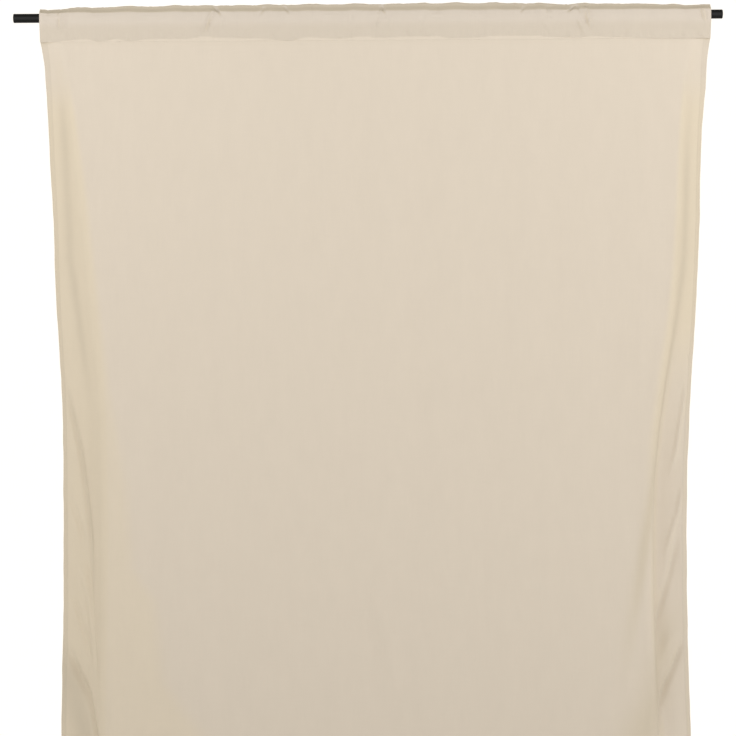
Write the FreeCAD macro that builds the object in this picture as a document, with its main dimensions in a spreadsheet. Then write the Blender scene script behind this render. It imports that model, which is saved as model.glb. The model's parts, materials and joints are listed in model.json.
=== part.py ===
"""A curtain panel that hangs by its rod pocket on a plain steel rod.

The origin is on the rod's axis, halfway along it. X runs along the rod, the room side faces -Y and
the cloth hangs towards -Z. Sizes are in millimetres.
"""

import FreeCAD, Part
import math
import os
import Sketcher

SIZES = {
    # the rod
    "rod_diameter": 19.0,
    "rod_wall": 1.0,
    "rod_length": 1480.0,
    "plug_head": 3.5,
    "plug_depth": 14.0,
    "plug_slack": 0.1,
    "plug_chamfer": 0.8,
    # the panel as sewn
    "panel_width": 1400.0,
    "panel_length": 2500.0,
    "panel_shift": 15.0,
    "cloth_thickness": 1.6,
    "side_hem": 15.0,
    "bottom_hem": 50.0,
    # the rod pocket
    "pocket_slack": 0.5,
    "crease_height": 28.0,
    "pocket_depth": 72.0,
    "foot_height": 5.5,
    "fold_gap": 0.75,
    # how the free edges curl to the back
    "curl_width": 165.0,
    "curl_angle": 68.0,
    "curl_start": 430.0,
    "curl_easing": 0.16,
    # sewing thread and label
    "thread_width": 1.0,
    "thread_height": 0.45,
    "thread_gap": 0.05,
    "stitch_margin": 1.5,
    "edge_gap": 0.3,
    "label_width": 38.0,
    "label_length": 60.0,
    "label_thickness": 0.4,
    "label_margin": 6.0,
}

# how far down the cloth its cross-section is drawn, as shares of the drop below the pocket
DROP_LEVELS = (0.0, 0.015, 0.035, 0.065, 0.1, 0.15, 0.22, 0.32, 0.45, 0.6, 0.8)

doc = FreeCAD.newDocument("curtain_panel")


def make_sheet(sizes):
    """The driving dimensions, as named cells of a spreadsheet."""
    sheet = doc.addObject("Spreadsheet::Sheet", "Sizes")
    for row, (alias, value) in enumerate(sizes.items(), start=1):
        sheet.set(f"A{row}", alias)
        sheet.set(f"B{row}", str(value))
        sheet.setAlias(f"B{row}", alias)
    doc.recompute()
    return sheet


sheet = make_sheet(SIZES)


def size(alias):
    return float(sheet.get(alias))


def place(x=0.0, y=0.0, z=0.0):
    return FreeCAD.Placement(FreeCAD.Vector(x, y, z), FreeCAD.Rotation())


# places that several pieces share: across from the panel's middle, and down from the rod's axis or,
# for the hems and the label, from the top of the drop
GAP = size("edge_gap")
HALF_WIDTH = size("panel_width") / 2
FLAT_HALF = HALF_WIDTH - size("curl_width")
HEM_START = HALF_WIDTH - size("side_hem")
TURN_MIDDLE = (FLAT_HALF + HEM_START) / 2
SWING_LINE = size("crease_height") - size("pocket_depth") - size("foot_height") - size("fold_gap")
DROP_TOP = SWING_LINE - size("fold_gap")
DROP_LENGTH = size("panel_length") - size("crease_height") + DROP_TOP
HEM_TOP = DROP_LENGTH - size("bottom_hem")
LABEL_BOTTOM = HEM_TOP - size("label_margin")
LABEL_TOP = LABEL_BOTTOM - size("label_length")
MARGIN = size("stitch_margin")
THREAD = size("thread_width")
SHARED_DROPS = [share * DROP_LENGTH for share in DROP_LEVELS]
SHARED_DROPS += [MARGIN, DROP_LENGTH - MARGIN, LABEL_BOTTOM, HEM_TOP - GAP, HEM_TOP]
SHARED_DROPS += [top + below for top in (LABEL_TOP, HEM_TOP) for below in (0.0, MARGIN, MARGIN + THREAD)]


# ---------------------------------------------------------------- bodies drawn in a sketch


def new_body(label):
    body = doc.addObject("PartDesign::Body", label)
    body.Label = label
    return body


def sketch_across(body, name):
    """A sketch on the body's YZ plane. Its own x runs along +Y and its own y along +Z."""
    plane = next(f for f in body.Origin.OriginFeatures if f.Role == "YZ_Plane")
    sketch = body.newObject("Sketcher::SketchObject", name)
    sketch.AttachmentSupport = [(plane, "")]
    sketch.MapMode = "FlatFace"
    return sketch


def add_circle(sketch, diameter):
    """A circle around the sketch's origin, its diameter bound to an expression."""
    start = FreeCAD.Vector(0, 0, 0)
    circle = sketch.addGeometry(Part.Circle(start, FreeCAD.Vector(0, 0, 1), 5.0), False)
    sketch.addConstraint(Sketcher.Constraint("Coincident", circle, 3, -1, 1))
    held = sketch.addConstraint(Sketcher.Constraint("Diameter", circle, 10.0))
    sketch.setExpression(f"Constraints[{held}]", diameter)


def pad(body, sketch, name, length, midplane=False, reverse=False):
    feature = body.newObject("PartDesign::Pad", name)
    feature.Profile = sketch
    feature.setExpression("Length", length)
    feature.Midplane = midplane
    feature.Reversed = reverse
    sketch.Visibility = False
    return feature


def make_rod():
    """The steel tube, between the heads of its two end plugs."""
    body = new_body("curtain_rod")
    ring = sketch_across(body, "rod_ring")
    add_circle(ring, "Sizes.rod_diameter")
    add_circle(ring, "Sizes.rod_diameter - 2 * Sizes.rod_wall")
    pad(body, ring, "rod_tube", "Sizes.rod_length - 2 * Sizes.plug_head", midplane=True)
    return body


def make_plug(label, side):
    """A plastic plug whose head closes the tube's end and whose stem sits inside it."""
    inner_end = size("rod_length") / 2 - size("plug_head")
    body = new_body(label)
    body.Placement = place(x=side * inner_end)
    head = sketch_across(body, f"{label}_head_circle")
    add_circle(head, "Sizes.rod_diameter")
    pad(body, head, f"{label}_head", "Sizes.plug_head", reverse=side < 0)
    stem = sketch_across(body, f"{label}_stem_circle")
    add_circle(stem, "Sizes.rod_diameter - 2 * Sizes.rod_wall - 2 * Sizes.plug_slack")
    stem_pad = pad(body, stem, f"{label}_stem", "Sizes.plug_depth", reverse=side > 0)
    doc.recompute()
    rim = [
        f"Edge{number}"
        for number, edge in enumerate(stem_pad.Shape.Edges, start=1)
        if edge.Closed and abs(edge.CenterOfMass.x - side * size("plug_head")) < 0.01
    ]
    if not rim:
        raise RuntimeError(f"{label}: the rim of the head was not found")
    edges = body.newObject("PartDesign::Chamfer", f"{label}_chamfer")
    edges.Base = (stem_pad, rim)
    edges.setExpression("Size", "Sizes.plug_chamfer")
    return body


def add_loop(sketch, points_and_arcs):
    """A closed outline. Each item is a point, or a (middle, end) pair for an arc to the end."""
    first = here = points_and_arcs[0]
    for item in points_and_arcs[1:] + [first]:
        if isinstance(item, tuple):
            middle, end = item
            sketch.addGeometry(Part.Arc(here, middle, end), False)
            here = end
        else:
            sketch.addGeometry(Part.LineSegment(here, item), False)
            here = item


def pocket_outline(radius, upper_turn, lower_turn, foot):
    """One face of the pocket's cloth: flat up to the crease and down to the seam, and round the rod
    between. The turns are where each flat leaves the rod, measured from straight up and down.
    foot lists the points, from back to front, that close the outline below."""

    def on_rod(turn, side):
        return FreeCAD.Vector(side * radius * math.sin(turn), radius * math.cos(turn), 0)

    crease = FreeCAD.Vector(0, radius / math.cos(upper_turn), 0)
    below = math.pi - lower_turn
    to_back = (FreeCAD.Vector(radius, 0, 0), on_rod(below, 1))
    to_front = (FreeCAD.Vector(-radius, 0, 0), on_rod(upper_turn, -1))
    return [crease, on_rod(upper_turn, 1), to_back, *foot, on_rod(below, -1), to_front]


def make_pocket(label, start, length):
    """A stretch of the casing: the top of the cloth folded to the back, round the rod, and sewn
    down. It runs from start, measured across the panel from its middle."""
    thickness = size("cloth_thickness")
    inner = size("rod_diameter") / 2 + size("pocket_slack")
    outer = inner + thickness
    foot_bottom = size("crease_height") - size("pocket_depth") - size("foot_height")
    foot_top = foot_bottom + size("foot_height")
    upper_turn = math.acos(outer / size("crease_height"))
    reach = math.hypot(thickness, foot_top)
    lower_turn = math.acos(outer / reach) + math.atan2(thickness, -foot_top)
    foot = [
        FreeCAD.Vector(thickness, foot_top, 0),
        FreeCAD.Vector(thickness, foot_bottom, 0),
        FreeCAD.Vector(-thickness, foot_bottom, 0),
        FreeCAD.Vector(-thickness, foot_top, 0),
    ]
    inside_foot = [FreeCAD.Vector(0, -inner / math.cos(lower_turn), 0)]
    body = new_body(label)
    body.Placement = place(x=size("panel_shift") + start)
    section = sketch_across(body, f"{label}_section")
    add_loop(section, pocket_outline(outer, upper_turn, lower_turn, foot))
    add_loop(section, pocket_outline(inner, upper_turn, lower_turn, inside_foot))
    pad(body, section, f"{label}_cloth", length)
    return body


def make_pocket_seam(label, start, length):
    """The thread that closes the rod pocket, across the front of its foot."""
    thread = doc.addObject("Part::Box", label)
    thread.Label = label
    thread.setExpression("Length", length)
    thread.setExpression("Width", "Sizes.thread_height")
    thread.setExpression("Height", "Sizes.thread_width")
    thread.Placement = place(
        x=size("panel_shift") + start,
        y=-size("cloth_thickness") - size("thread_gap") - size("thread_height"),
        z=size("crease_height") - size("pocket_depth") - MARGIN - THREAD,
    )
    return thread


# ---------------------------------------------------------------- cloth below the pocket



def curl_at(drop):
    """How far the free edge has turned to the back, in radians, at this drop below the pocket."""
    grown = math.sqrt(1 - math.exp(-(drop + 1.0) / size("curl_start")))
    eased = 1 - size("curl_easing") * (drop / DROP_LENGTH) ** 2
    return math.radians(size("curl_angle")) * grown * eased


def cloth_point(across, drop, depth):
    """A point of the cloth: across is measured along the cloth from its middle, drop down from the
    pocket, and depth from the cloth's front face to the back."""
    curl = curl_at(drop)
    radius = size("curl_width") / curl
    turn = max(abs(across) - FLAT_HALF, 0.0) / radius
    out = min(abs(across), FLAT_HALF) + (radius - depth) * math.sin(turn)
    back = radius - (radius - depth) * math.cos(turn)
    return FreeCAD.Vector(math.copysign(out, across), back, DROP_TOP - drop)


def run_across(start, end, drop, depth):
    """The cloth's line from start to end at one drop: an arc, a straight or both, as it crosses."""
    low, high = min(start, end), max(start, end)
    stops = [low, *(x for x in (-FLAT_HALF, FLAT_HALF) if low < x < high), high]
    if start > end:
        stops.reverse()
    edges = []
    for here, there in zip(stops, stops[1:]):
        first, last = cloth_point(here, drop, depth), cloth_point(there, drop, depth)
        if abs(here + there) / 2 < FLAT_HALF:
            edges.append(Part.makeLine(first, last))
        else:
            middle = cloth_point((here + there) / 2, drop, depth)
            edges.append(Part.Arc(first, middle, last).toShape())
    return edges


def strip_section(start, end, drop, front, back):
    """The closed cross-section of a strip of cloth at one drop."""
    edges = run_across(start, end, drop, front)
    edges.append(Part.makeLine(cloth_point(end, drop, front), cloth_point(end, drop, back)))
    edges += run_across(end, start, drop, back)
    edges.append(Part.makeLine(cloth_point(start, drop, back), cloth_point(start, drop, front)))
    return Part.Wire(edges)


def cloth_strip(label, start, end, top, bottom, front, back):
    """A strip of the hanging cloth as a solid, from start to end across and from top to bottom.
    Every strip has its cross-sections at the same drops, so that neighbours fit each other."""
    drops = sorted({top, bottom} | {drop for drop in SHARED_DROPS if top < drop < bottom})
    sections = [strip_section(start, end, drop, front, back) for drop in drops]
    strip = doc.addObject("Part::Feature", label)
    strip.Label = label
    strip.Shape = Part.makeLoft(sections, True, True)
    strip.Placement = place(x=size("panel_shift"), y=-size("cloth_thickness") / 2)
    return strip


def make_single(label, start, end):
    """A stretch of the drop where the cloth is one layer, down to the bottom hem."""
    return cloth_strip(label, start, end, 0.0, HEM_TOP - GAP, 0.0, size("cloth_thickness"))


def make_side_hem(label, side):
    """The edge of the cloth, turned over to the back and sewn: two layers."""
    doubled = 2 * size("cloth_thickness")
    return cloth_strip(label, side * HEM_START, side * HALF_WIDTH, 0.0, DROP_LENGTH, 0.0, doubled)


def make_bottom_hem(label, start, end):
    """A stretch of the bottom hem, turned up to the back and sewn: two layers."""
    doubled = 2 * size("cloth_thickness")
    return cloth_strip(label, start, end, HEM_TOP, DROP_LENGTH, 0.0, doubled)


def make_thread(label, start, end, top, bottom):
    """Sewing thread as a bead on the front of the cloth."""
    front, back = -size("thread_gap") - size("thread_height"), -size("thread_gap")
    return cloth_strip(label, start, end, top, bottom, front, back)


def make_side_seam(label, side):
    """The thread that holds a side hem, along the hem's inner edge on the front."""
    start = side * (HEM_START + MARGIN)
    return make_thread(label, start, start + side * THREAD, MARGIN, DROP_LENGTH - MARGIN)


def make_bottom_seam(label, start, end):
    """The thread that holds the bottom hem, along the hem's upper edge on the front."""
    top = HEM_TOP + MARGIN
    return make_thread(label, start, end, top, top + THREAD)


def make_label():
    """The blank care label, flat on the back of the cloth beside the left hem."""
    start = -HEM_START + size("label_margin")
    front = size("cloth_thickness") + size("thread_gap")
    back = front + size("label_thickness")
    end = start + size("label_width")
    return cloth_strip("care_label", start, end, LABEL_TOP, LABEL_BOTTOM, front, back)


def make_label_stitch():
    """The thread across the top of the care label."""
    start = -HEM_START + size("label_margin") + MARGIN
    end = start + size("label_width") - 2 * MARGIN
    top = LABEL_TOP + MARGIN
    front = size("cloth_thickness") + 2 * size("thread_gap") + size("label_thickness")
    back = front + size("thread_height")
    return cloth_strip("label_stitch", start, end, top, top + THREAD, front, back)


def check(objects):
    """Stop if any object of the document is in error or any sub-part isn't one valid solid."""
    for thing in doc.Objects:
        if {"Invalid", "Error"} & set(thing.State):
            raise RuntimeError(f"{thing.Name} is {thing.State}")
    for thing in objects:
        shape = thing.Shape
        if shape.isNull() or not shape.isValid() or len(shape.Solids) != 1:
            raise RuntimeError(f"{thing.Label} is not one valid solid")


def write(objects):
    os.makedirs("parts", exist_ok=True)
    for thing in objects:
        thing.Shape.exportStep(f"parts/{thing.Label}.step")
        print(f"{thing.Label}: {thing.Shape.Volume / 1000:.1f} cm3")


parts = [
    make_rod(),
    make_plug("end_plug_left", -1),
    make_plug("end_plug_right", 1),
    make_pocket("rod_pocket", -FLAT_HALF, "Sizes.panel_width - 2 * Sizes.curl_width"),
    make_pocket("pocket_end_left", -HALF_WIDTH, "Sizes.curl_width - Sizes.edge_gap"),
    make_pocket("pocket_end_right", FLAT_HALF + GAP, "Sizes.curl_width - Sizes.edge_gap"),
    make_pocket_seam(
        "pocket_seam",
        MARGIN - HALF_WIDTH,
        "Sizes.panel_width - Sizes.curl_width - Sizes.stitch_margin",
    ),
    make_pocket_seam(
        "pocket_seam_end",
        FLAT_HALF + GAP,
        "Sizes.curl_width - Sizes.edge_gap - Sizes.stitch_margin",
    ),
    make_single("drop_cloth", -FLAT_HALF, FLAT_HALF),
    make_single("edge_inner_left", -(TURN_MIDDLE - GAP), -(FLAT_HALF + GAP)),
    make_single("edge_inner_right", FLAT_HALF + GAP, TURN_MIDDLE - GAP),
    make_single("edge_outer_left", -(HEM_START - GAP), -TURN_MIDDLE),
    make_single("edge_outer_right", TURN_MIDDLE, HEM_START - GAP),
    make_side_hem("side_hem_left", -1),
    make_side_hem("side_hem_right", 1),
    make_side_seam("side_seam_left", -1),
    make_side_seam("side_seam_right", 1),
    make_bottom_hem("bottom_hem", -FLAT_HALF, FLAT_HALF),
    make_bottom_hem("hem_corner_left", -(HEM_START - GAP), -(FLAT_HALF + GAP)),
    make_bottom_hem("hem_corner_right", FLAT_HALF + GAP, HEM_START - GAP),
    make_bottom_seam("bottom_seam", -(HEM_START - MARGIN), FLAT_HALF),
    make_bottom_seam("bottom_seam_end", FLAT_HALF + GAP, HEM_START - MARGIN),
    make_label(),
    make_label_stitch(),
]
doc.recompute()
check(parts)
write(parts)
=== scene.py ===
"""The looks of the curtain panel: woven cloth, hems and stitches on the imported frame."""

import json
import math

import bmesh
import bpy
import numpy as np
from mathutils import Matrix, Vector


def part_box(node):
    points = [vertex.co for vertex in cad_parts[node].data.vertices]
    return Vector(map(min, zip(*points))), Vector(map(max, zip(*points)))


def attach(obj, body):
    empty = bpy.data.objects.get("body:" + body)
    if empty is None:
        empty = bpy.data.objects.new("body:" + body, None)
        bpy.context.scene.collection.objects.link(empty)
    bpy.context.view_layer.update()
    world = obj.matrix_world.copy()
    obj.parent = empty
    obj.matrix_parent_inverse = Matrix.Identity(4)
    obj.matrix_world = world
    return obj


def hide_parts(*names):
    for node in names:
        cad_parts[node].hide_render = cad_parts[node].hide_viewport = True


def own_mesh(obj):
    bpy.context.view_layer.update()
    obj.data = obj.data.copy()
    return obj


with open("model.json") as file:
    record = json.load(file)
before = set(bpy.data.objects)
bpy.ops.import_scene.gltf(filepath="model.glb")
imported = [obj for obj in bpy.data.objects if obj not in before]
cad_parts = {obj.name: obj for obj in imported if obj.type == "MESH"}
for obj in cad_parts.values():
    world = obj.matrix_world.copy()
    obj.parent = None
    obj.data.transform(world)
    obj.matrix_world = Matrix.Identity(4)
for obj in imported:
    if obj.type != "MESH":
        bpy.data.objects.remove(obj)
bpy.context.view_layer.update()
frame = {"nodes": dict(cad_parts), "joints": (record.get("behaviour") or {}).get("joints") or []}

# ---------------------------------------------------------------- sizes, in metres

pocket_low, pocket_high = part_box("rod_pocket")
MIDDLE = (pocket_low.x + pocket_high.x) / 2
FLAT_HALF = (pocket_high.x - pocket_low.x) / 2
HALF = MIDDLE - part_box("pocket_end_left")[0].x
SIDE_HEM = 0.015
HEM_START = HALF - SIDE_HEM
TURN = HALF - FLAT_HALF
CREASE = pocket_high.z
FOOT = pocket_low.z
PIVOT = next(j for j in frame["joints"] if j["name"] == "drop_swing")["pos_m"][2]
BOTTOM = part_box("bottom_hem")[0].z
LENGTH = PIVOT - BOTTOM
HEM_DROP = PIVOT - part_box("bottom_hem")[1].z
ROD_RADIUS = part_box("curtain_rod")[1].z
CLOTH = 0.0008
# A hem's back face behind the cloth's middle layer, then half its thickness, its middle and the
# radius of its fold.
HEM_BACK = 0.0017
HEM_HALF = (CLOTH / 2 + HEM_BACK) / 2
HEM_CENTRE = CLOTH / 2 - HEM_HALF
FOLD_RADIUS = 0.001
STITCH_PITCH = 0.0034
STITCH_LENGTH = 0.0026
THREAD_RADIUS = 0.00022
SIDE_STITCH_INSET = 0.0018
BOTTOM_STITCH_INSET = 0.002
LABEL_INSET = 0.006
LABEL_WIDTH = 0.038
LABEL_THICKNESS = 0.0003

# ---------------------------------------------------------------- smooth helpers


def smooth(value, start, end):
    """0 before start and 1 after end, with a smooth rise between."""
    t = np.clip((value - start) / (end - start), 0, 1)
    return t * t * (3 - 2 * t)


def spaced(start, end, step):
    return np.linspace(start, end, max(1, round(abs(end - start) / step)) + 1)


def joined(*runs):
    """Runs of values end to end, with each shared value once."""
    return np.concatenate([runs[0], *(run[1:] for run in runs[1:])])


def ripples(across, down, seed, count, widths, lengths):
    """A smooth random field between about -1 and 1, from waves that run mostly down the cloth."""
    random = np.random.default_rng(seed)
    total = np.zeros(np.broadcast(across, down).shape)
    for _ in range(count):
        width = random.uniform(*widths)
        length = random.uniform(*lengths)
        lean = random.uniform(-1, 1)
        phase = random.uniform(0, 2 * math.pi)
        total += np.sin(2 * math.pi * (across / width + lean * down / length) + phase)
    return total / math.sqrt(count)


# ---------------------------------------------------------------- the hanging cloth

FOLD_EDGE = np.array([0.0, 0.0001, 0.0003, 0.0006, 0.001])
EDGE_TO_HEM = joined(FOLD_EDGE, spaced(0.001, SIDE_HEM, 0.002))
LEFT = joined(-HALF + EDGE_TO_HEM, spaced(-HEM_START, -FLAT_HALF, 0.0026))
ACROSS = joined(LEFT, spaced(-FLAT_HALF, FLAT_HALF, 0.0115), -LEFT[::-1])
TUCK = -0.0010
DOWN = joined(
    spaced(TUCK, 0.008, 0.0015),
    spaced(0.008, HEM_DROP, 0.0085),
    spaced(HEM_DROP, LENGTH - 0.001, 0.007),
    LENGTH - FOLD_EDGE[::-1],
)

# How each side turns to the back, at each drop below the pocket, left and then right: the width of
# the turned strip, how far in its free edge hangs, and how much of the turn is left by the edge.
TURNS = np.array([
    (0.000, 0.050, 0.0000, 0.80, 0.050, 0.0000, 0.80),
    (0.045, 0.058, 0.0052, 0.80, 0.056, 0.0046, 0.80),
    (0.100, 0.066, 0.0083, 0.80, 0.061, 0.0066, 0.75),
    (0.180, 0.078, 0.0115, 0.80, 0.067, 0.0135, 0.75),
    (0.260, 0.089, 0.0140, 0.75, 0.072, 0.0167, 0.70),
    (0.370, 0.102, 0.0190, 0.70, 0.077, 0.0187, 0.65),
    (0.480, 0.114, 0.0200, 0.70, 0.084, 0.0228, 0.60),
    (0.590, 0.126, 0.0237, 0.65, 0.097, 0.0280, 0.55),
    (0.700, 0.138, 0.0290, 0.65, 0.114, 0.0345, 0.40),
    (0.800, 0.144, 0.0315, 0.60, 0.129, 0.0400, 0.20),
    (0.920, 0.146, 0.0318, 0.55, 0.142, 0.0445, 0.12),
    (1.030, 0.146, 0.0315, 0.50, 0.146, 0.0460, 0.12),
    (1.190, 0.142, 0.0310, 0.45, 0.146, 0.0455, 0.12),
    (1.350, 0.138, 0.0270, 0.45, 0.140, 0.0420, 0.15),
    (1.450, 0.136, 0.0250, 0.45, 0.138, 0.0380, 0.25),
    (1.900, 0.130, 0.0210, 0.50, 0.128, 0.0280, 0.40),
    (LENGTH, 0.125, 0.0190, 0.50, 0.125, 0.0250, 0.50),
])

# Folds: side, how far in from the free edge and how far down each point is, the fold's half
# width and its height. They start at the edge and run inward as they fall.
FOLDS = [
    (-1, [(0.010, 0.695), (0.030, 0.78), (0.049, 0.86), (0.064, 0.96), (0.076, 1.05),
          (0.086, 1.16)], 0.0065, -0.0046),
    (-1, [(0.060, 1.06), (0.072, 1.13), (0.084, 1.21), (0.094, 1.29),
          (0.100, 1.36)], 0.0060, -0.0036),
    (-1, [(0.018, 0.945), (0.036, 0.99), (0.060, 1.06)], 0.0055, -0.0038),
    (-1, [(0.040, 1.08), (0.066, 1.16), (0.096, 1.30)], 0.0100, 0.0041),
    (-1, [(0.022, 1.15), (0.048, 1.22), (0.084, 1.33)], 0.0050, -0.0032),
    (-1, [(0.008, 1.255), (0.040, 1.325), (0.070, 1.375), (0.100, 1.47),
          (0.130, 1.62)], 0.0075, -0.0087),
    (-1, [(0.020, 1.62), (0.080, 1.80), (0.130, 2.05)], 0.0120, -0.0058),
    (1, [(0.020, 0.655), (0.012, 0.672), (0.002, 0.680)], 0.0030, -0.0023),
    (1, [(0.016, 0.70), (0.022, 0.78), (0.030, 0.86), (0.046, 0.93)], 0.0050, 0.0038),
    (1, [(0.012, 0.93), (0.022, 0.99), (0.044, 1.06), (0.056, 1.10)], 0.0045, 0.0038),
    (1, [(0.020, 1.03), (0.044, 1.13), (0.070, 1.21), (0.098, 1.32)], 0.0065, -0.0041),
    (1, [(0.004, 1.235), (0.034, 1.31), (0.064, 1.37), (0.094, 1.45),
         (0.130, 1.60)], 0.0065, -0.0075),
    (1, [(0.030, 1.24), (0.056, 1.28), (0.086, 1.36)], 0.0100, 0.0032),
    (1, [(0.020, 1.55), (0.070, 1.72), (0.120, 1.95)], 0.0120, -0.0055),
]
# The same for the faint drag lines in the middle, measured across from the panel's middle.
MIDDLE_FOLDS = [
    ([(-0.012, 1.12), (0.014, 1.25), (0.050, 1.42)], 0.010, 0.0036),
    ([(-0.020, 1.17), (-0.014, 1.28), (-0.012, 1.44)], 0.007, -0.0030),
    ([(-0.330, 0.02), (-0.322, 0.12), (-0.318, 0.30)], 0.006, 0.0010),
    ([(-0.010, 0.02), (-0.008, 0.10), (-0.004, 0.25)], 0.006, 0.0009),
    ([(0.020, 0.02), (0.020, 0.12), (0.016, 0.30)], 0.006, 0.0009),
    ([(0.360, 0.01), (0.358, 0.08), (0.356, 0.16)], 0.005, -0.0010),
    ([(0.396, 0.01), (0.404, 0.08), (0.408, 0.20)], 0.006, 0.0010),
    ([(0.430, 0.01), (0.446, 0.06), (0.452, 0.14)], 0.005, -0.0008),
]

# Random ripples: height, seed, number of waves, and the range of their widths and lengths. The slow
# ones are in the lower part, and the last two along the side hems and under the pocket.
RIPPLES = {
    "broad": (0.0011, 5, 9, (0.10, 0.19), (0.9, 2.5)),
    "fine": (0.0003, 6, 14, (0.030, 0.080), (0.3, 1.2)),
    "slow": (0.0028, 8, 5, (0.26, 0.42), (3.0, 8.0)),
    "hems": (0.0005, 3, 8, (0.2, 0.8), (0.024, 0.06)),
    "top": (0.0005, 4, 12, (0.014, 0.036), (0.3, 0.8)),
}


def fold_height(across, down, points, half_width, height):
    """One soft fold along a line given by its points, fading out at both of its ends."""
    places, drops = np.array(points).T
    line = np.interp(down, drops, places)
    slope = np.gradient(line, down[:, 0], axis=0)
    offset = (across - line) / np.sqrt(1 + slope**2) / half_width
    span = drops[-1] - drops[0]
    fade = smooth(down, drops[0], drops[0] + span / 5)
    fade = fade * (1 - smooth(down, drops[-1] - span / 3, drops[-1]))
    return height * fade * np.exp(-(offset**2))


def recede(across, down, side):
    """How far the middle of the cloth falls back beside the strip on one side, and its slope at the
    strip."""
    start, deepest, reach = (0.75, 0.009, 0.20) if side < 0 else (1.05, 0.006, 0.16)
    share = np.clip((side * across - FLAT_HALF + reach) / reach, 0, 1)
    lower = smooth(down, start, 1.55)
    return deepest * lower * share**2, 2 * deepest / reach * lower


def side_section(side, down):
    """Where the cloth beside one free edge lies: distances from the flat part's edge, outward and
    to the back, for a fine row of places along the cloth, from the flat part to the free edge."""
    columns = (1, 2, 3) if side < 0 else (4, 5, 6)
    width, inset, ease = (np.interp(down, TURNS[:, 0], TURNS[:, k])[:, None] for k in columns)
    along = np.linspace(0, TURN, 661)
    to_edge = TURN - along
    share = to_edge / width
    # The turn begins at the strip's border, eases off towards the edge and grows again in the hem.
    shape = 1 - smooth(share, 0.74, 1.02)
    turn_from = 0.28 if side < 0 else 0.36
    shape = shape * (ease + (1 - ease) * smooth(share, turn_from, turn_from + 0.30))
    shape = shape + 0.35 * (1 - smooth(to_edge, 0.008, 0.018)) * smooth(down, 0.0, 0.2)[:, None]
    # Just inside the border the cloth comes a little towards the room.
    shape = shape - 0.10 * np.exp(-(((share - 1.10) / 0.10) ** 2)) * smooth(along, 0.0, 0.012)
    # It leaves the middle at the middle's own slope. Halving finds how far it turns in all, so that
    # the free edge hangs as far in as TURNS says.
    border = np.arctan(recede(side * FLAT_HALF, down, side)[1])[:, None]
    shape_left = border * (1 - smooth(along, 0.0, 0.03))
    low, high = np.zeros(inset.shape), np.full(inset.shape, 1.6)
    for _ in range(24):
        most = (low + high) / 2
        reached = (1 - np.cos(most * shape + shape_left)).sum(axis=1, keepdims=True) * along[1]
        low, high = np.where(reached < inset, most, low), np.where(reached < inset, high, most)
    angle = low * shape + shape_left
    outward = np.cumsum(np.cos(angle), axis=1) * along[1]
    back = np.cumsum(np.sin(angle), axis=1) * along[1]
    return along, outward - outward[:, :1], back - back[:, :1]


def hanging_cloth():
    """The middle layer of the cloth below the pocket: its points by row and column."""
    down = DOWN[:, None] + 0 * ACROSS
    across = ACROSS[None, :] + 0 * down
    points = np.zeros(down.shape + (3,))
    points[..., 0] = across
    for side in (-1, 1):
        along, outward, back = side_section(side, DOWN)
        points[..., 1] += recede(np.clip(across, -FLAT_HALF, FLAT_HALF), down, side)[0]
        for column in np.flatnonzero(side * ACROSS > FLAT_HALF):
            at = (side * ACROSS[column] - FLAT_HALF) / along[1]
            low = min(int(at), len(along) - 2)
            share = at - low
            reached = outward[:, low] * (1 - share) + outward[:, low + 1] * share
            points[:, column, 0] = side * (FLAT_HALF + reached)
            points[:, column, 1] += back[:, low] * (1 - share) + back[:, low + 1] * share
    points[..., 2] = PIVOT - down
    normals = grid_normals(points)
    edge = HALF - np.abs(across)
    height = np.zeros(down.shape)
    areas = {
        "broad": smooth(down, 0.0, 0.25),
        "fine": smooth(down, 0.0, 0.1),
        "slow": smooth(down, 0.9, LENGTH),
        "hems": np.exp(-edge / 0.014),
        "top": np.exp(-down / 0.025),
    }
    for name, (rise, *waves) in RIPPLES.items():
        height += rise * ripples(across, down, *waves) * areas[name]
    for side, line, half_width, rise in FOLDS:
        inner = [(HALF - place, drop) for place, drop in line]
        height += fold_height(side * across, down, inner, half_width, rise)
    for line, half_width, rise in MIDDLE_FOLDS:
        height += fold_height(across, down, line, half_width, rise)
    points += normals * (height * smooth(down, 0.0, 0.012))[..., None]
    # The top is tucked behind the pocket's foot.
    points[..., 1] += 0.0007 * (1 - smooth(down, 0.0, 0.007))
    points[..., 0] += MIDDLE
    return points


def grid_normals(points):
    """Unit normals of a grid of points, towards the room (-Y) where rows go down and columns go
    right."""
    by_row = np.gradient(points, axis=0)
    by_column = np.gradient(points, axis=1)
    normals = np.cross(by_row, by_column)
    return normals / np.linalg.norm(normals, axis=2, keepdims=True)


# The painted warm shade where the cloth faces the room.
FACING_WARM_SHADE = 0.4


def warmth(normals):
    """Painted warm shade by the cloth's turn: lowest towards the room, and 1 turned away."""
    facing = np.clip(-normals[..., 1], 0, 1)
    return FACING_WARM_SHADE + (1 - FACING_WARM_SHADE) * (1 - smooth(facing, 0.68, 0.97))
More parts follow.
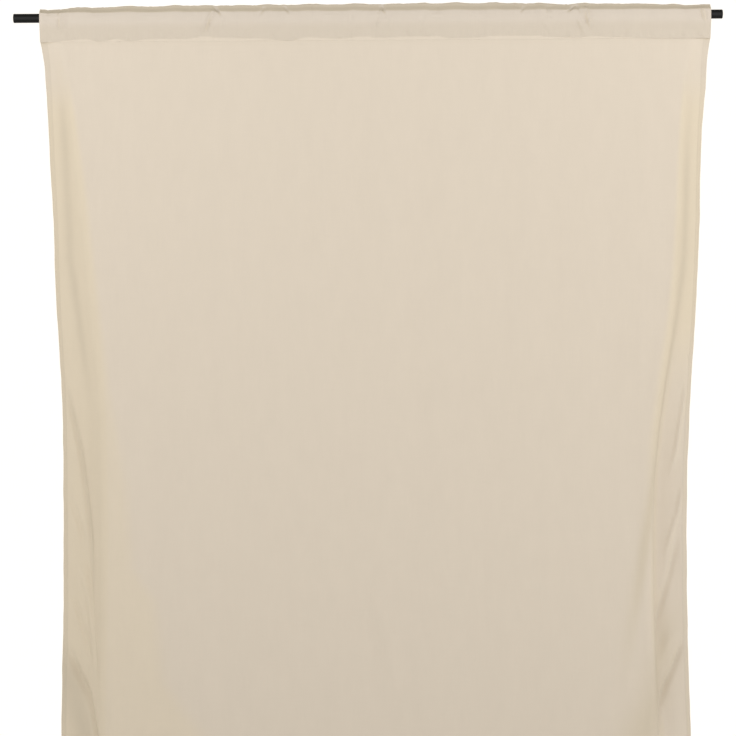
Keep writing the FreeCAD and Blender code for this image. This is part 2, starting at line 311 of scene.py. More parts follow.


# Painted shade bands, where the cloth is darker: side, how far in from the free edge and how far
# down each point is, half width and strength. The first two run down the turned strips, and the
# others are lower.
PAINTED_SHADE_BANDS = [
    (-1, [(0.028, 0.05), (0.040, 0.15), (0.043, 0.23), (0.041, 0.33), (0.042, 0.45), (0.053, 0.52),
          (0.066, 0.63), (0.076, 0.70), (0.086, 0.82)], 0.013, 1.0),
    (1, [(0.034, 0.06), (0.042, 0.23), (0.043, 0.33), (0.043, 0.45), (0.053, 0.54), (0.069, 0.63),
         (0.086, 0.71), (0.104, 0.81), (0.122, 0.92), (0.155, 1.13), (0.180, 1.27),
         (0.200, 1.45)], 0.013, 1.0),
    (-1, [(0.000, 1.24), (0.030, 1.36), (0.060, 1.46), (0.090, 1.75)], 0.030, 1.1),
    (-1, [(0.010, 0.68), (0.030, 0.78), (0.049, 0.86), (0.064, 0.96), (0.076, 1.05),
          (0.086, 1.20)], 0.008, 0.8),
    (1, [(0.040, 1.16), (0.080, 1.28), (0.110, 1.38), (0.150, 1.46), (0.180, 1.90)], 0.045, 0.9),
]
# How far in from the left edge the painted warm shade reaches: how far down, and the distance.
WARM_SHADE_REACH = np.array([
    (0.60, 0.125), (0.82, 0.165), (0.96, 0.187), (1.10, 0.197),
    (1.17, 0.245), (1.34, 0.265), (1.45, 0.350), (LENGTH, 0.370),
])


def painted_shade_bands(across, down):
    """How dark the painted shade bands are, from 0 to about 1."""
    total = np.zeros(across.shape)
    for side, line, half_width, strength in PAINTED_SHADE_BANDS:
        inner = [(HALF - place, drop) for place, drop in line]
        total = np.maximum(total, fold_height(side * across, down, inner, half_width, strength))
    return total


def turned_warm_shade(across, down):
    """The painted warm shade of the turned strips. It fades out on the right one's outer part and
    lower down, and reaches further in on the left the lower it is."""
    total = np.zeros(across.shape)
    for side, column in ((-1, 1), (1, 4)):
        width = np.interp(down[:, 0], TURNS[:, 0], TURNS[:, column])[:, None]
        share = (HALF - side * across) / width
        strip = (1 - smooth(share, 0.88, 1.06)) * smooth(down, 0.05, 0.16)
        if side > 0:
            # The outer part loses the painted shade first, and then most of the strip does.
            outer = (1 - smooth(share, 0.50, 0.70)) * smooth(down, 0.56, 0.76)
            strip = strip * (1 - 0.9 * outer) * (1 - 0.8 * smooth(down, 0.80, 1.05))
        else:
            # The diagonal folds drag it in past the strip.
            reach = np.interp(down[:, 0], *WARM_SHADE_REACH.T)[:, None]
            dragged = 0.65 * (1 - smooth((HALF + across) / reach, 0.86, 1.02))
            strip = np.maximum(strip, dragged * smooth(down, 0.55, 0.75))
        total = total + strip
    return total


# ---------------------------------------------------------------- meshes


def cloth_piece(name, front, back, places, tones, material):
    """A closed sheet between two grids of points. places holds each point's (across, down) on the
    cloth in metres, for the weave, and tones its painted warm shade and painted darker shade. Where
    front and back meet in a fold, they share their points."""
    rows, columns = front.shape[:2]
    mesh = bpy.data.meshes.new(name)
    bm = bmesh.new()
    uv_layer = bm.loops.layers.uv.new("cloth")
    # The two painted tones: warm shade and darker shade.
    layers = [bm.verts.layers.float.new(tone) for tone in ("warmth", "doubled")]
    grids = []
    for grid in (front, back):
        rows_of_verts = [[bm.verts.new(grid[r, c]) for c in range(columns)] for r in range(rows)]
        grids.append(rows_of_verts)
    where = {}
    for verts in grids:
        for r in range(rows):
            for c in range(columns):
                where[verts[r][c]] = places[r, c]
                for layer, tone in zip(layers, tones):
                    verts[r][c][layer] = tone[r, c]
    ahead, behind = grids

    def add_face(corners):
        face = bm.faces.new(corners)
        face.smooth = True
        for loop in face.loops:
            loop[uv_layer].uv = where[loop.vert]

    for r in range(rows - 1):
        for c in range(columns - 1):
            add_face([ahead[r][c], ahead[r + 1][c], ahead[r + 1][c + 1], ahead[r][c + 1]])
            add_face([behind[r][c], behind[r][c + 1], behind[r + 1][c + 1], behind[r + 1][c]])
    corners = [(0, c) for c in range(columns)] + [(r, columns - 1) for r in range(1, rows)]
    corners += [(rows - 1, c) for c in range(columns - 2, -1, -1)]
    corners += [(r, 0) for r in range(rows - 2, 0, -1)]
    rim = list(zip(corners, corners[1:] + corners[:1]))
    for (r, c), (nr, nc) in rim:
        add_face([ahead[r][c], ahead[nr][nc], behind[nr][nc], behind[r][c]])
    for verts in grids:
        for (r, c), (nr, nc) in rim:
            edge = bm.edges.get((verts[r][c], verts[nr][nc]))
            gap = (ahead[r][c].co - behind[r][c].co).length
            if edge is not None and gap > CLOTH / 4:
                edge.smooth = False
    bmesh.ops.remove_doubles(bm, verts=bm.verts, dist=1e-6)
    bmesh.ops.dissolve_degenerate(bm, edges=bm.edges, dist=1e-7)
    bm.to_mesh(mesh)
    bm.free()
    return add_object(name, mesh, material)


def add_object(name, mesh, material):
    piece = bpy.data.objects.new(name, mesh)
    bpy.context.scene.collection.objects.link(piece)
    mesh.materials.append(material)
    return piece


def stitches(name, line, outward, material):
    """A row of lock stitches along a line of points: short grains that dip in at both ends."""
    steps = np.linalg.norm(np.diff(line, axis=0), axis=1)
    length = np.concatenate([[0], np.cumsum(steps)])
    starts = np.arange(STITCH_PITCH / 2, length[-1] - STITCH_LENGTH, STITCH_PITCH)
    rings, sides = 5, 6
    turns = np.arange(sides) / sides * 2 * math.pi
    verts, faces = [], []
    for start in starts:
        first = len(verts)
        for ring in range(rings):
            share = ring / (rings - 1)
            at = start + share * STITCH_LENGTH
            centre = np.array([np.interp(at, length, line[:, k]) for k in range(3)])
            normal = np.array([np.interp(at, length, outward[:, k]) for k in range(3)])
            ahead = np.array([np.interp(at + 1e-4, length, line[:, k]) for k in range(3)]) - centre
            normal /= np.linalg.norm(normal)
            beside = np.cross(ahead, normal)
            beside /= np.linalg.norm(beside)
            arch = math.sin(math.pi * share)
            centre = centre + normal * THREAD_RADIUS * (1.1 * arch - 0.9)
            radius = THREAD_RADIUS * (0.45 + 0.55 * math.sqrt(arch))
            for t in turns:
                verts.append(centre + radius * (math.cos(t) * beside + math.sin(t) * normal))
        for ring in range(rings - 1):
            for side in range(sides):
                a = first + ring * sides + side
                b = first + ring * sides + (side + 1) % sides
                faces.append((a, b, b + sides, a + sides))
        faces.append([first + side for side in range(sides - 1, -1, -1)])
        faces.append([first + (rings - 1) * sides + side for side in range(sides)])
    mesh = bpy.data.meshes.new(name)
    mesh.from_pydata([tuple(v) for v in verts], [], faces)
    mesh.polygons.foreach_set("use_smooth", [True] * len(mesh.polygons))
    mesh.validate()
    return add_object(name, mesh, material)


# ---------------------------------------------------------------- materials


def new_material(name):
    material = bpy.data.materials.new(name)
    material.use_nodes = True
    tree = material.node_tree
    return material, tree, tree.nodes["Principled BSDF"]


def math_node(tree, operation, first, second=None):
    node = tree.nodes.new("ShaderNodeMath")
    node.operation = operation
    for socket, value in zip(node.inputs, (first, second)):
        if isinstance(value, (int, float)):
            socket.default_value = value
        elif value is not None:
            tree.links.new(value, socket)
    return node.outputs[0]


def noise_node(tree, vector, stretch, scale, detail, roughness=0.5):
    """Noise over a vector that is first stretched by (x, y, z)."""
    mapping = tree.nodes.new("ShaderNodeMapping")
    mapping.inputs["Scale"].default_value = stretch
    noise = tree.nodes.new("ShaderNodeTexNoise")
    noise.inputs["Scale"].default_value = scale
    noise.inputs["Detail"].default_value = detail
    noise.inputs["Roughness"].default_value = roughness
    tree.links.new(vector, mapping.inputs["Vector"])
    tree.links.new(mapping.outputs["Vector"], noise.inputs["Vector"])
    return noise.outputs["Fac"]


def mix_colour(tree, share, first, second):
    node = tree.nodes.new("ShaderNodeMix")
    node.data_type = "RGBA"
    factor, colours = node.inputs[0], (node.inputs[6], node.inputs[7])
    for socket, value in zip((factor, *colours), (share, first, second)):
        if isinstance(value, bpy.types.NodeSocket):
            tree.links.new(value, socket)
        elif isinstance(value, (int, float)):
            socket.default_value = value
        else:
            socket.default_value = (*value, 1)
    return node.outputs[2]


def weave_height(tree, place, pitch):
    """Plain weave: warp and weft yarns as round ridges that pass over each other by turns."""
    split = tree.nodes.new("ShaderNodeSeparateXYZ")
    tree.links.new(place, split.inputs[0])
    waves = []
    for axis in ("X", "Y"):
        phase = math_node(tree, "MULTIPLY", split.outputs[axis], math.pi / pitch)
        waves.append(math_node(tree, "SINE", phase))
    warp, weft = (math_node(tree, "ABSOLUTE", wave) for wave in waves)
    over = math_node(tree, "GREATER_THAN", math_node(tree, "MULTIPLY", *waves), 0.0)
    under = math_node(tree, "SUBTRACT", 1.0, over)
    return math_node(
        tree,
        "ADD",
        math_node(tree, "MULTIPLY", warp, over),
        math_node(tree, "MULTIPLY", weft, under),
    )


def tone_node(tree, name):
    node = tree.nodes.new("ShaderNodeAttribute")
    node.attribute_name = name
    return node.outputs["Fac"]


def cloth_material(cool, warm, doubled):
    """Fine plain-woven polyester-cotton: a matt weave with thread-to-thread variation, with a painted
    warm shade and a painted darker shade from the two tones stored at the mesh's points."""
    material, tree, shader = new_material("woven_cloth")
    uv = tree.nodes.new("ShaderNodeUVMap")
    uv.uv_map = "cloth"
    place = uv.outputs["UV"]
    warp_slub = noise_node(tree, place, (1400, 16, 1), 1.0, 2)
    weft_slub = noise_node(tree, place, (16, 1400, 1), 1.0, 2)
    mottle = noise_node(tree, place, (34, 13, 1), 1.0, 5, 0.62)
    # Painted warm shade: the lit colour mixed towards the warm shaded colour by the stored tone.
    toned = mix_colour(tree, tone_node(tree, "warmth"), cool, warm)
    tone = math_node(tree, "MULTIPLY_ADD", math_node(tree, "ADD", warp_slub, weft_slub), 0.045)
    tone.node.inputs[2].default_value = 0.955
    blotch = math_node(tree, "MULTIPLY_ADD", mottle, 0.055)
    blotch.node.inputs[2].default_value = 0.9725
    # Painted shade: darker by the stored tone, where two layers lie together, along painted bands and
    # over the pocket's top.
    painted_shade_factor = math_node(tree, "MULTIPLY_ADD", tone_node(tree, "doubled"), doubled - 1)
    painted_shade_factor.node.inputs[2].default_value = 1.0
    brightness = math_node(tree, "MULTIPLY", math_node(tree, "MULTIPLY", tone, blotch), painted_shade_factor)
    scaled = tree.nodes.new("ShaderNodeVectorMath")
    scaled.operation = "SCALE"
    tree.links.new(toned, scaled.inputs[0])
    tree.links.new(brightness, scaled.inputs["Scale"])
    tree.links.new(scaled.outputs[0], shader.inputs["Base Color"])
    roughness = math_node(tree, "MULTIPLY_ADD", warp_slub, 0.12)
    roughness.node.inputs[2].default_value = 0.74
    tree.links.new(roughness, shader.inputs["Roughness"])
    shader.inputs["Specular IOR Level"].default_value = 0.18
    shader.inputs["Sheen Weight"].default_value = 0.06
    shader.inputs["Sheen Roughness"].default_value = 0.45
    height = math_node(tree, "MULTIPLY_ADD", weave_height(tree, place, 0.00042), 0.6)
    tree.links.new(math_node(tree, "ADD", warp_slub, weft_slub), height.node.inputs[2])
    bump = tree.nodes.new("ShaderNodeBump")
    bump.inputs["Strength"].default_value = 0.35
    bump.inputs["Distance"].default_value = 0.00012
    tree.links.new(height, bump.inputs["Height"])
    tree.links.new(bump.outputs["Normal"], shader.inputs["Normal"])
    return material


def thread_material(colour):
    """Twisted sewing thread: fine slanting ridges along each stitch."""
    material, tree, shader = new_material("sewing_thread")
    coordinates = tree.nodes.new("ShaderNodeTexCoord")
    twist = tree.nodes.new("ShaderNodeTexWave")
    twist.bands_direction = "DIAGONAL"
    twist.inputs["Scale"].default_value = 1500
    tree.links.new(coordinates.outputs["Object"], twist.inputs["Vector"])
    shade = mix_colour(tree, twist.outputs["Fac"], [c * 0.86 for c in colour], colour)
    tree.links.new(shade, shader.inputs["Base Color"])
    bump = tree.nodes.new("ShaderNodeBump")
    bump.inputs["Strength"].default_value = 0.4
    bump.inputs["Distance"].default_value = 0.00005
    tree.links.new(twist.outputs["Fac"], bump.inputs["Height"])
    tree.links.new(bump.outputs["Normal"], shader.inputs["Normal"])
    shader.inputs["Roughness"].default_value = 0.55
    shader.inputs["Sheen Weight"].default_value = 0.1
    return material


def label_material():
    """White satin ribbon: fine ribs across, softly shiny."""
    material, tree, shader = new_material("satin_ribbon")
    coordinates = tree.nodes.new("ShaderNodeTexCoord")
    ribs = noise_node(tree, coordinates.outputs["Object"], (60, 60, 3000), 1.0, 1)
    shade = mix_colour(tree, ribs, (0.70, 0.70, 0.68), (0.84, 0.84, 0.82))
    tree.links.new(shade, shader.inputs["Base Color"])
    bump = tree.nodes.new("ShaderNodeBump")
    bump.inputs["Strength"].default_value = 0.3
    bump.inputs["Distance"].default_value = 0.00005
    tree.links.new(ribs, bump.inputs["Height"])
    tree.links.new(bump.outputs["Normal"], shader.inputs["Normal"])
    shader.inputs["Roughness"].default_value = 0.38
    return material


def rod_material():
    """Satin black powder coat with its fine orange peel, and faint rubbed streaks along its length.
    """
    material, tree, shader = new_material("black_powder_coat")
    coordinates = tree.nodes.new("ShaderNodeTexCoord")
    peel = noise_node(tree, coordinates.outputs["Object"], (1, 1, 1), 900, 3)
    scuff = noise_node(tree, coordinates.outputs["Object"], (6, 60, 60), 1.0, 5, 0.65)
    shade = mix_colour(tree, scuff, (0.0035, 0.0035, 0.0032), (0.0075, 0.0075, 0.007))
    tree.links.new(shade, shader.inputs["Base Color"])
    roughness = math_node(tree, "MULTIPLY_ADD", scuff, 0.12)
    roughness.node.inputs[2].default_value = 0.3
    tree.links.new(roughness, shader.inputs["Roughness"])
    bump = tree.nodes.new("ShaderNodeBump")
    bump.inputs["Strength"].default_value = 0.15
    bump.inputs["Distance"].default_value = 0.0001
    tree.links.new(peel, bump.inputs["Height"])
    tree.links.new(bump.outputs["Normal"], shader.inputs["Normal"])
    shader.inputs["Specular IOR Level"].default_value = 0.2
    return material


def plug_material():
    """Moulded black plastic with a fine spark-eroded grain."""
    material, tree, shader = new_material("moulded_black_plastic")
    coordinates = tree.nodes.new("ShaderNodeTexCoord")
    grain = noise_node(tree, coordinates.outputs["Object"], (1, 1, 1), 1800, 2)
    shade = mix_colour(tree, grain, (0.004, 0.004, 0.004), (0.008, 0.008, 0.008))
    tree.links.new(shade, shader.inputs["Base Color"])
    bump = tree.nodes.new("ShaderNodeBump")
    bump.inputs["Strength"].default_value = 0.25
    bump.inputs["Distance"].default_value = 0.0001
    tree.links.new(grain, bump.inputs["Height"])
    tree.links.new(bump.outputs["Normal"], shader.inputs["Normal"])
    shader.inputs["Roughness"].default_value = 0.55
    shader.inputs["Specular IOR Level"].default_value = 0.2
    return material


# The cloth's colour where it faces the front lamps, and the warmer colour painted where it is in
# shade.
COOL_LIT_CLOTH = (0.603, 0.532, 0.455)
WARM_SHADE_CLOTH = (0.628, 0.541, 0.412)
# What is left of the colour's brightness at full painted shade, as where two layers lie together
# and less light comes through them, and how much of that painted shade the hems get.
FULL_SHADE_SHARE = 0.90
SIDE_HEM_SHADE = 0.5
BOTTOM_HEM_SHADE = 0.8
CLOTH_LOOK = cloth_material(COOL_LIT_CLOTH, WARM_SHADE_CLOTH, FULL_SHADE_SHARE)
THREAD = thread_material((0.56, 0.48, 0.37))
LABEL = label_material()

# ---------------------------------------------------------------- pieces of the drop

POINTS = hanging_cloth()
NORMALS = grid_normals(POINTS)
PLACES = np.stack(np.broadcast_arrays(ACROSS[None, :], -DOWN[:, None]), axis=-1)
# Painted shade fixed on the cloth: the warm shade of the turned strips and the darker bands, which
# are also painted warm.
TURNED_WARM_SHADE = turned_warm_shade(PLACES[..., 0], -PLACES[..., 1])
SHADE_BANDS = painted_shade_bands(PLACES[..., 0], -PLACES[..., 1])
PAINTED = FACING_WARM_SHADE + (1 - FACING_WARM_SHADE) * np.maximum(TURNED_WARM_SHADE, 0.9 * SHADE_BANDS)
# Elsewhere a warm shade is still painted by how far the cloth turns away, about half as much.
PAINTED_WARM_SHADE = np.maximum(0.55 * warmth(NORMALS) + 0.18, PAINTED)


def part_of(rows, columns, front, back):
    """The front and back points of a patch of the hanging cloth, each offset from its middle
    layer, and the patch's places."""
    patch, normals = POINTS[rows, columns], NORMALS[rows, columns]
    front, back = (np.broadcast_to(offset, patch.shape[:2])[..., None] for offset in (front, back))
    return patch + normals * front, patch + normals * back, PLACES[rows, columns]


def tones(rows, columns, doubled):
    """The two painted tones of a patch: its painted warm shade, and how much painted darker shade."""
    return PAINTED_WARM_SHADE[rows, columns], doubled + SHADE_BANDS[rows, columns]


def between(values, low, high):
    found = np.flatnonzero((values > low - 1e-7) & (values < high + 1e-7))
    return slice(found[0], found[-1] + 1)


def rounded(distance, radius):
    """The share of full thickness at a distance from a fold of this radius."""
    near = np.clip(distance / radius, 0, 1)
    return np.sqrt(1 - (1 - near) ** 2)


SINGLE_ROWS = between(DOWN, TUCK, HEM_DROP)
HEM_ROWS = between(DOWN, HEM_DROP, LENGTH)
SPANS = {
    "left": between(ACROSS, -HEM_START, -FLAT_HALF),
    "middle": between(ACROSS, -FLAT_HALF, FLAT_HALF),
    "right": between(ACROSS, FLAT_HALF, HEM_START),
}
BODIES = {"left": "drop", "middle": "drop", "right": "leading_edge"}
POCKET_BODIES = {"left": "casing", "middle": "casing", "right": "casing_end"}


def settle(piece, where, bodies, nodes):
    """Ride on the right body, gather with it in the middle, and stand for the CAD nodes."""
    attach(piece, bodies[where])
    if where == "middle":
        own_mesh(piece)
    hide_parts(*nodes)
    return piece


def drop_pieces():
    nodes = {
        "left": ["edge_inner_left", "edge_outer_left"],
        "middle": ["drop_cloth"],
        "right": ["edge_inner_right", "edge_outer_right"],
    }
    made = {}
    for where, columns in SPANS.items():
        sheet = part_of(SINGLE_ROWS, columns, CLOTH / 2, -CLOTH / 2)
        shades = tones(SINGLE_ROWS, columns, 0)
        piece = cloth_piece(f"drop_cloth_{where}", *sheet, shades, CLOTH_LOOK)
        made[where] = settle(piece, where, BODIES, nodes[where])
    return made


def side_hem_piece(where, side):
    """The side hem: cloth turned over to the back, with a rounded fold at the free edge."""
    low, high = sorted((side * HEM_START, side * HALF))
    columns = between(ACROSS, low, high)
    share = rounded(HALF - np.abs(ACROSS[columns]), FOLD_RADIUS)[None, :] * np.ones((len(DOWN), 1))
    share *= rounded(LENGTH - DOWN, FOLD_RADIUS)[:, None]
    rows = slice(0, len(DOWN))
    sheet = part_of(rows, columns, HEM_CENTRE + HEM_HALF * share, HEM_CENTRE - HEM_HALF * share)
    shades = tones(rows, columns, SIDE_HEM_SHADE)
    piece = cloth_piece(f"side_hem_{where}_cloth", *sheet, shades, CLOTH_LOOK)
    return settle(piece, where, BODIES, [f"side_hem_{where}"])


def bottom_hem_pieces():
    """The bottom hem: cloth turned up to the back, with a rounded fold at its lower edge."""
    nodes = {"left": ["hem_corner_left"], "middle": ["bottom_hem"], "right": ["hem_corner_right"]}
    share = rounded(LENGTH - DOWN[HEM_ROWS], FOLD_RADIUS)[:, None]
    front, back = HEM_CENTRE + HEM_HALF * share, HEM_CENTRE - HEM_HALF * share
    made = {}
    for where, columns in SPANS.items():
        sheet = part_of(HEM_ROWS, columns, front, back)
        shades = tones(HEM_ROWS, columns, BOTTOM_HEM_SHADE)
        piece = cloth_piece(f"bottom_hem_{where}", *sheet, shades, CLOTH_LOOK)
        made[where] = settle(piece, where, BODIES, nodes[where])
    return made


def column_line(across):
    """The front of the cloth and its normals along one line down the cloth."""
    column = np.abs(ACROSS - across).argmin()
    return POINTS[:, column] + NORMALS[:, column] * CLOTH / 2, NORMALS[:, column]


def row_line(down, columns):
    row = np.abs(DOWN - down).argmin()
    return POINTS[row, columns] + NORMALS[row, columns] * CLOTH / 2, NORMALS[row, columns]


def side_stitches(where, side):
    line, normals = column_line(side * (HEM_START + SIDE_STITCH_INSET))
    piece = stitches(f"side_stitches_{where}", line, normals, THREAD)
    return settle(piece, where, BODIES, [f"side_seam_{where}"])


def bottom_stitches(where, node):
    line, normals = row_line(HEM_DROP + BOTTOM_STITCH_INSET, SPANS[where])
    piece = stitches(f"bottom_stitches_{where}", line, normals, THREAD)
    return settle(piece, where, BODIES, [node])


# ---------------------------------------------------------------- the rod pocket

# Height of the pocket's stitch line, and how far behind the rod's middle its crease lies.
SEAM = -0.0462
CREASE_Y = 0.0038
# Outside of the pocket's cross-section, from its front foot over the crease to its back foot, as
# (y, z).
POCKET_OUTLINE = [
    (0.0000, FOOT - 0.0004), (-0.0006, FOOT + 0.0018), (-0.0011, SEAM + 0.0006),
    (-0.0042, SEAM + 0.0120), (-0.0082, -0.0220), (-0.0108, -0.0120), (-0.0112, -0.0030),
    (-0.0106, 0.0060), (-0.0092, 0.0110), (-0.0058, 0.0152), (-0.0016, 0.0202),
    (0.0018, CREASE - 0.0022), (CREASE_Y, CREASE - 0.0006),
    (0.0058, CREASE - 0.0022), (0.0092, 0.0140), (0.0112, 0.0010), (0.0094, -0.0160),
    (0.0050, SEAM + 0.0120), (0.0026, SEAM), (0.0024, FOOT - 0.0004),
]
# How far the stitch line wanders above or below SEAM, at places across, where the cloth was caught
# up or let down as it was sewn.
SEAM_WAVE = np.array([
    (-0.700, -0.0040), (-0.672, -0.0036), (-0.640, -0.0002), (-0.602, 0.0020), (-0.577, -0.0034),
    (-0.540, 0.0014), (-0.512, -0.0030), (-0.476, 0.0010), (-0.428, 0.0014), (-0.392, 0.0018),
    (-0.357, 0.0056), (-0.324, 0.0028), (-0.250, 0.0014), (-0.177, -0.0040), (-0.142, 0.0026),
    (-0.075, 0.0002), (-0.027, 0.0034), (0.025, 0.0006), (0.067, 0.0038), (0.130, 0.0034),
    (0.157, -0.0010), (0.213, 0.0006), (0.255, 0.0042), (0.338, 0.0038), (0.359, 0.0010),
    (0.422, -0.0008), (0.457, 0.0014), (0.505, -0.0010), (0.568, -0.0032), (0.603, -0.0052),
    (0.651, -0.0046), (0.700, -0.0040),
])
# Creases across the pocket's front: where across at the rod, how far they lean outward on the way
# up, lowest and highest point, half width and height.
POCKET_CREASES = [
    (-0.662, 0.000, -0.030, 0.016, 0.0018, -0.0023), (-0.655, 0.001, -0.030, 0.014, 0.0026, 0.0030),
    (-0.645, 0.003, -0.026, 0.012, 0.0020, -0.0023), (-0.352, 0.026, -0.046, 0.016, 0.0030, 0.0034),
    (-0.343, 0.022, -0.040, 0.020, 0.0022, -0.0027),
    (-0.328, -0.016, 0.000, 0.026, 0.0024, -0.0042),
    (-0.318, 0.010, -0.034, 0.010, 0.0030, -0.0019), (-0.236, 0.010, 0.000, 0.022, 0.0030, -0.0027),
    (-0.184, -0.012, 0.004, 0.024, 0.0026, -0.0023),
    (-0.048, 0.006, -0.020, 0.014, 0.0024, -0.0019),
    (0.006, 0.010, -0.030, 0.024, 0.0022, -0.0034), (0.018, -0.008, -0.006, 0.026, 0.0022, -0.0042),
    (0.030, 0.012, -0.040, 0.004, 0.0034, 0.0019), (0.096, 0.012, -0.030, 0.010, 0.0036, -0.0013),
    (0.306, 0.010, 0.000, 0.020, 0.0022, -0.0027), (0.358, 0.002, -0.010, 0.022, 0.0018, -0.0027),
    (0.366, 0.002, -0.010, 0.022, 0.0018, -0.0027), (0.352, -0.028, -0.040, 0.006, 0.0030, 0.0017),
    (0.408, 0.016, 0.002, 0.024, 0.0026, -0.0038), (0.424, -0.010, 0.000, 0.026, 0.0020, -0.0027),
    (0.444, -0.010, -0.030, 0.018, 0.0022, 0.0046), (0.436, -0.012, -0.026, 0.014, 0.0020, -0.0034),
    (0.428, -0.016, -0.040, -0.006, 0.0022, 0.0027), (0.684, -0.006, -0.016, 0.014, 0.0020, 0.0034),
    (0.679, -0.006, -0.016, 0.014, 0.0018, -0.0023),
    (0.690, -0.004, -0.020, 0.012, 0.0016, -0.0019),
]
# How high the crease along the top stands, at places across.
CREASE_LINE = np.array([
    (-0.700, 0.0184), (-0.660, 0.0200), (-0.620, 0.0216), (-0.560, 0.0240), (-0.450, 0.0252),
    (-0.345, 0.0266), (-0.330, 0.0246), (-0.310, 0.0252), (-0.280, 0.0262), (-0.100, 0.0270),
    (0.000, 0.0272), (0.012, 0.0258), (0.040, 0.0274), (0.160, 0.0280), (0.260, 0.0276),
    (0.330, 0.0262), (0.400, 0.0240), (0.430, 0.0250), (0.480, 0.0248), (0.560, 0.0236),
    (0.620, 0.0222), (0.665, 0.0206), (0.686, 0.0200), (0.700, 0.0206),
])


def smooth_path(corners, steps):
    """A smooth line through the corners, with this many steps from each to the next."""
    corners = np.array(corners)
    padded = np.vstack([2 * corners[0] - corners[1], corners, 2 * corners[-1] - corners[-2]])
    path = []
    for before, here, there, after in zip(padded, padded[1:], padded[2:], padded[3:]):
        for t in np.arange(steps) / steps:
            path.append(
                0.5
                * (
                    2 * here
                    + (there - before) * t
                    + (2 * before - 5 * here + 4 * there - after) * t**2
                    + (3 * here - before - 3 * there + after) * t**3
                )
            )
    return np.vstack([path, corners[-1:]])


def eased(values, table):
    """Values between the table's rows, with a soft change at each."""
    places, heights = np.array(table).T
    k = np.clip(np.searchsorted(places, values) - 1, 0, len(places) - 2)
    return heights[k] + (heights[k + 1] - heights[k]) * smooth(values, places[k], places[k + 1])


def pocket_grid():
    """The pocket's outer surface: rows go round from the front foot to the back, columns across."""
    path = smooth_path(POCKET_OUTLINE, 5)
    across = joined(LEFT, spaced(-FLAT_HALF, FLAT_HALF, 0.0032), -LEFT[::-1])
    edge = (HALF - np.abs(across))[None, :]
    y, z = path[:, :1], path[:, 1:]
    front = y < CREASE_Y
    steps = np.linalg.norm(np.diff(path, axis=0), axis=1)
    around = np.concatenate([[0], np.cumsum(steps)])[:, None]
    points = np.zeros((len(path), len(across), 3))
    points[..., 0] = across
    points[..., 1] = y
    lowered = (CREASE - eased(across, CREASE_LINE))[None, :]
    top = np.clip((z - 0.009) / (CREASE - 0.009), 0, 1)
    points[..., 2] = z - lowered * top
    points[..., 1] += -0.10 * lowered * top * front
    normals = grid_normals(points[::-1])[::-1]
    seam = SEAM + eased(across, SEAM_WAVE)[None, :]
    # The seam's own groove and the short puckers above it, then waves over the whole pocket and
    # short ones at its top.
    height = -0.0005 * np.exp(-(((z - seam) / 0.0016) ** 2)) * front
    pucker = ripples(across[None, :], around, 14, 16, (0.012, 0.040), (0.2, 1.2))
    by_seam = np.exp(-(((z - seam - 0.006) / 0.009) ** 2))
    height = height + 0.0010 * pucker * by_seam * smooth(z, FOOT, FOOT + 0.006)
    broad = ripples(across[None, :], around, 15, 12, (0.04, 0.14), (0.10, 0.40))
    height = height + 0.0011 * broad * smooth(z, SEAM, -0.022)
    short = ripples(across[None, :], around, 16, 16, (0.012, 0.045), (0.05, 0.25))
    height = height + 0.0003 * short * smooth(z, -0.012, 0.008)
    for place, lean, lowest, highest, half_width, rise in POCKET_CREASES:
        share = np.clip((z - lowest) / (highest - lowest), 0, 1)
        line = place + lean * (share - 0.5)
        along = np.sin(math.pi * share) ** 0.7
        ridge = np.exp(-(((across[None, :] - line) / half_width) ** 2))
        height = height + rise * along * front * ridge
    foot = smooth(z, FOOT, FOOT + 0.004)
    points += normals * (height * foot + 0.0005 * (edge < SIDE_HEM) * foot)[..., None]
    # The cloth stays clear of the rod.
    from_rod = np.hypot(points[..., 1], points[..., 2])
    clear = np.maximum(1, (ROD_RADIUS + CLOTH + 0.0004) / np.maximum(from_rod, 1e-6))
    points[..., 1:] *= clear[..., None]
    points[..., 0] += MIDDLE
    normals = grid_normals(points[::-1])[::-1]
    # Painted shade: warmer low down and where the cloth turns away, darker above the seam where two
    # layers lie together, and warmer and darker over the top, where the cloth faces up.
    facing_up = normals[..., 2]
    warm = 0.16 + 0.24 * (1 - smooth(z, -0.026, -0.006)) + 0.84 * smooth(facing_up, 0.25, 0.62)
    warm = np.clip(np.maximum(warm, warmth(normals) - 0.24), 0, 1)
    doubled = smooth(z - seam, -0.0008, 0.0008) * (1 - 0.55 * smooth(z, -0.024, -0.006))
    doubled = doubled + 0.6 * smooth(facing_up, 0.30, 0.62)
    return across, points, normals, around[:, 0], seam, (warm, doubled)


